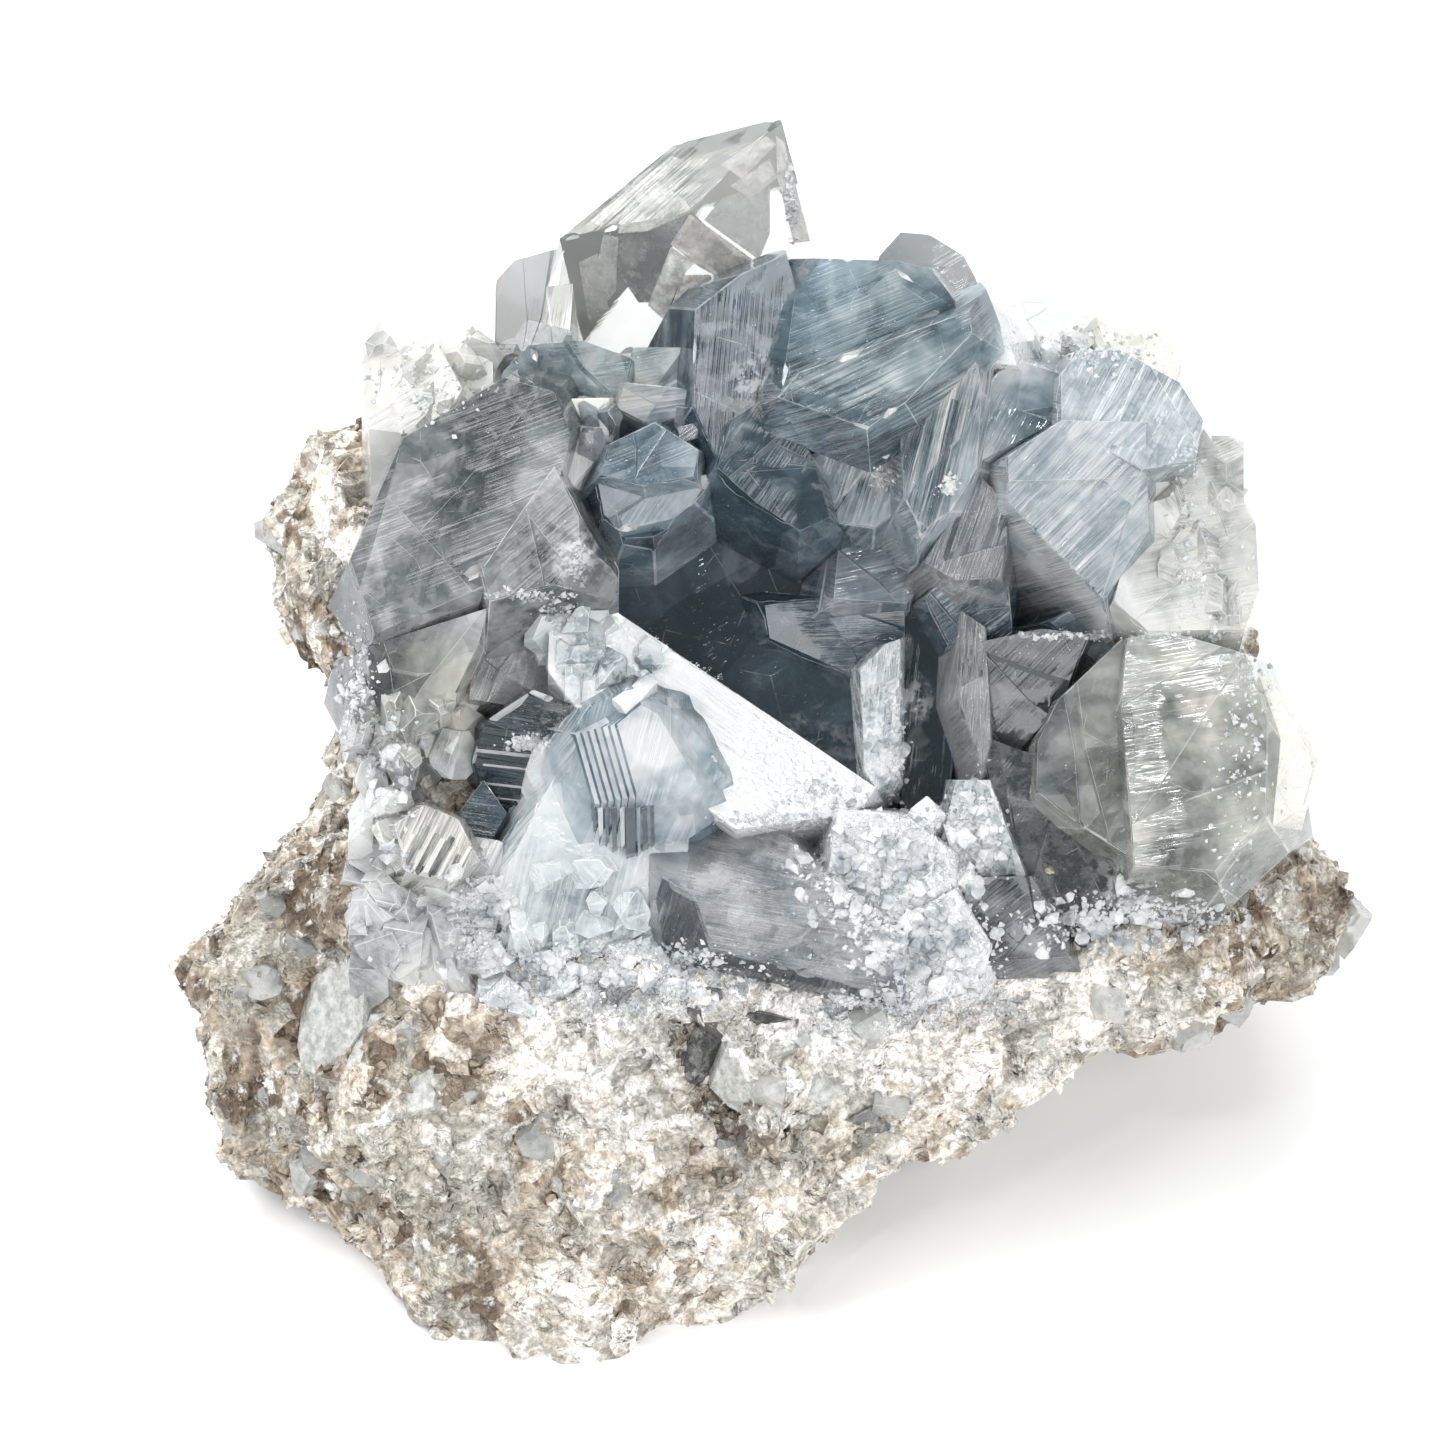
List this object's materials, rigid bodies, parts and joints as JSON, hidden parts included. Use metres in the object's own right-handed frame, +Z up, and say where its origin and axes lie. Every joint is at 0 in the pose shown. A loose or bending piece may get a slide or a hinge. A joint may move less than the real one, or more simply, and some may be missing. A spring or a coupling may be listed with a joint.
{
  "type": "celestite crystal cluster",
  "caption": "Hand-sized mineral specimen: clear blue-grey blades and blocky crystals grown together over pale granular matrix, standing on a level underside.",
  "frame": {"origin": "on the level underside of the matrix, below the middle of the crystal face", "axes": "+Z up from the underside, -Y towards the side that the crystal face looks to, +X to the right of someone who looks at that face"},
  "size_m": [0.0859, 0.072, 0.0612],
  "materials": {
    "matrix": "rough, granular",
    "celestite": "glassy, clear to cloudy"
  },
  "bodies": {
    "root": {"matrix": "matrix", "celestite_crystals": "celestite"}
  },
  "joints": []
}
